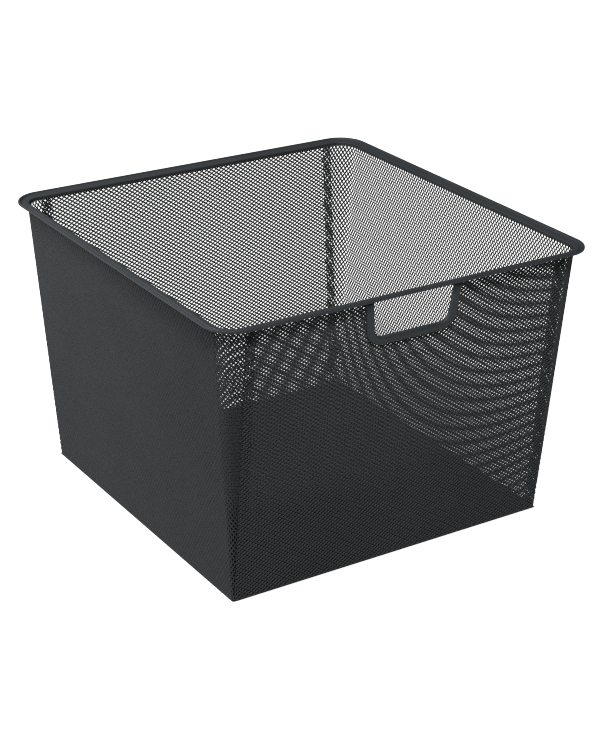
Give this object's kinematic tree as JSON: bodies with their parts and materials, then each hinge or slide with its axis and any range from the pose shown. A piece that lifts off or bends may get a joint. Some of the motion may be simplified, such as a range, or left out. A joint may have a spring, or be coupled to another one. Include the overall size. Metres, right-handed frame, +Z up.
{
  "type": "wire locker basket",
  "caption": "Tapered open-top storage basket of expanded steel mesh with a flanged rim frame and a U-shaped hand cut-out in the front wall.",
  "frame": {"origin": "centre of the underside of the base, midway between the rim's outer edges", "axes": "+X to the right seen from the front, +Y towards the back, +Z up; the wall with the hand cut-out faces -Y"},
  "size_m": [0.427, 0.438, 0.292],
  "materials": {
    "mesh_paint": "satin graphite paint on expanded steel mesh",
    "frame_paint": "satin graphite paint on formed steel"
  },
  "bodies": {
    "root": {"base_panel": "mesh_paint", "front_panel": "mesh_paint", "back_panel": "mesh_paint", "left_panel": "mesh_paint", "right_panel": "mesh_paint", "front_left_flap": "mesh_paint", "front_right_flap": "mesh_paint", "back_left_flap": "mesh_paint", "back_right_flap": "mesh_paint", "rim_frame": "frame_paint", "handle_trim": "frame_paint"}
  },
  "joints": []
}
